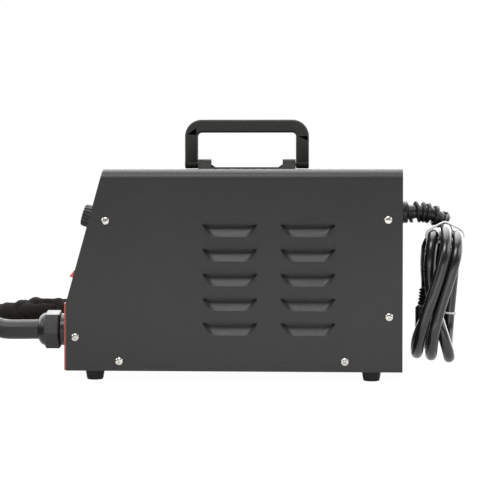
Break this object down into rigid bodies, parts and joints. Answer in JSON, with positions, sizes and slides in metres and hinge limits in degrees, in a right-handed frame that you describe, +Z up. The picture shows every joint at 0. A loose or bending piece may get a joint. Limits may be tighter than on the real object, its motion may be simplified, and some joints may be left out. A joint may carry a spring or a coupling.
{
  "type": "plasma cutter",
  "caption": "Portable plasma cutter: louvred steel case with sloped red front, folding handle, earth lead with clamp, torch lead with torch, and tied mains lead.",
  "frame": {"origin": "on the floor under the middle of the case", "axes": "+X from the sloped red front towards the mains lead's end, +Y away from the side that the picture shows, +Z up"},
  "size_m": [0.9846, 0.3901, 0.2915],
  "materials": {
    "powder_coat": "satin",
    "red_panel": "satin",
    "black_plastic": "matte",
    "nickel": "bright",
    "rubber": "matte",
    "red_lens": "gloss",
    "gland_nylon": "satin",
    "lead_jacket": "satin",
    "sleeve_cloth": "matte",
    "cord_jacket": "gloss",
    "white_tie": "matte",
    "aluminium": "satin",
    "board_green": "satin",
    "core_iron": "matte",
    "brass": "satin",
    "ceramic": "matte",
    "zinc_steel": "satin"
  },
  "bodies": {
    "housing": {"cover": "powder_coat", "base_pan": "powder_coat", "rear_panel": "powder_coat", "front_panel": "red_panel", "cover_screw_near_1": "nickel", "cover_screw_near_2": "nickel", "cover_screw_near_3": "nickel", "cover_screw_near_4": "nickel", "cover_screw_near_5": "nickel", "cover_screw_near_6": "nickel", "cover_screw_far_1": "nickel", "cover_screw_far_2": "nickel", "cover_screw_far_3": "nickel", "cover_screw_far_4": "nickel", "cover_screw_far_5": "nickel", "cover_screw_far_6": "nickel", "foot_front_near": "rubber", "foot_front_far": "rubber", "foot_rear_near": "rubber", "foot_rear_far": "rubber", "handle_base": "black_plastic", "handle_pin_front": "zinc_steel", "handle_pin_rear": "zinc_steel", "potentiometer": "zinc_steel", "switch_housing": "black_plastic", "lamp_1": "red_lens", "lamp_2": "red_lens", "gland_body": "gland_nylon", "gland_nut": "gland_nylon", "earth_lead": "lead_jacket", "earth_lead_coil": "lead_jacket", "earth_lead_tail": "lead_jacket", "clamp_fixed_arm": "zinc_steel", "clamp_pin": "zinc_steel", "clamp_spring": "zinc_steel", "torch_collar": "gland_nylon", "torch_lead": "sleeve_cloth", "torch_lead_coil": "sleeve_cloth", "torch_lead_tail": "sleeve_cloth", "torch_handle": "black_plastic", "torch_head": "black_plastic", "torch_cup": "ceramic", "strain_relief": "rubber", "mains_cord": "cord_jacket", "mains_hank": "cord_jacket", "mains_tail": "cord_jacket", "plug": "black_plastic", "tie_upper": "white_tie", "tie_lower": "white_tie", "fan_frame": "black_plastic", "heat_sink": "aluminium", "main_board": "board_green", "transformer": "core_iron", "air_valve": "brass"},
    "handle": {"handle_grip": "black_plastic"},
    "knob": {"current_knob": "black_plastic"},
    "rocker": {"switch_rocker": "red_lens"},
    "fan": {"fan_rotor": "black_plastic"},
    "trigger": {"torch_trigger": "red_lens"},
    "clamp_jaw": {"clamp_moving_arm": "zinc_steel"}
  },
  "joints": [
    {"name": "handle_fold", "type": "hinge", "parent": "housing", "child": "handle", "pos_m": [0.012, 0, 0.2413], "axis": [1, 0, 0], "range_deg": [-88, 88]},
    {"name": "knob_turn", "type": "hinge", "parent": "housing", "child": "knob", "pos_m": [-0.1578, -0.034, 0.18013], "axis": [-0.9632, 0, 0.2689], "range_deg": [-135, 135]},
    {"name": "rocker_tilt", "type": "hinge", "parent": "housing", "child": "rocker", "pos_m": [-0.17281, -0.05, 0.12379], "axis": [0, 1, 0], "range_deg": [-24, 0]},
    {"name": "fan_spin", "type": "hinge", "parent": "housing", "child": "fan", "pos_m": [0.17, 0, 0.103], "axis": [1, 0, 0], "continuous": true},
    {"name": "trigger_press", "type": "hinge", "parent": "housing", "child": "trigger", "pos_m": [-0.63111, 0.04775, 0.0461], "axis": [0, 0, 1], "range_deg": [0, 5], "stiffness_Nm_per_rad": 0.3, "springref_deg": -5.73},
    {"name": "clamp_open", "type": "hinge", "parent": "housing", "child": "clamp_jaw", "pos_m": [-0.65308, 0.0243, 0.0772], "axis": [0, 0, 1], "range_deg": [0, 12], "stiffness_Nm_per_rad": 1, "springref_deg": -22.92}
  ]
}
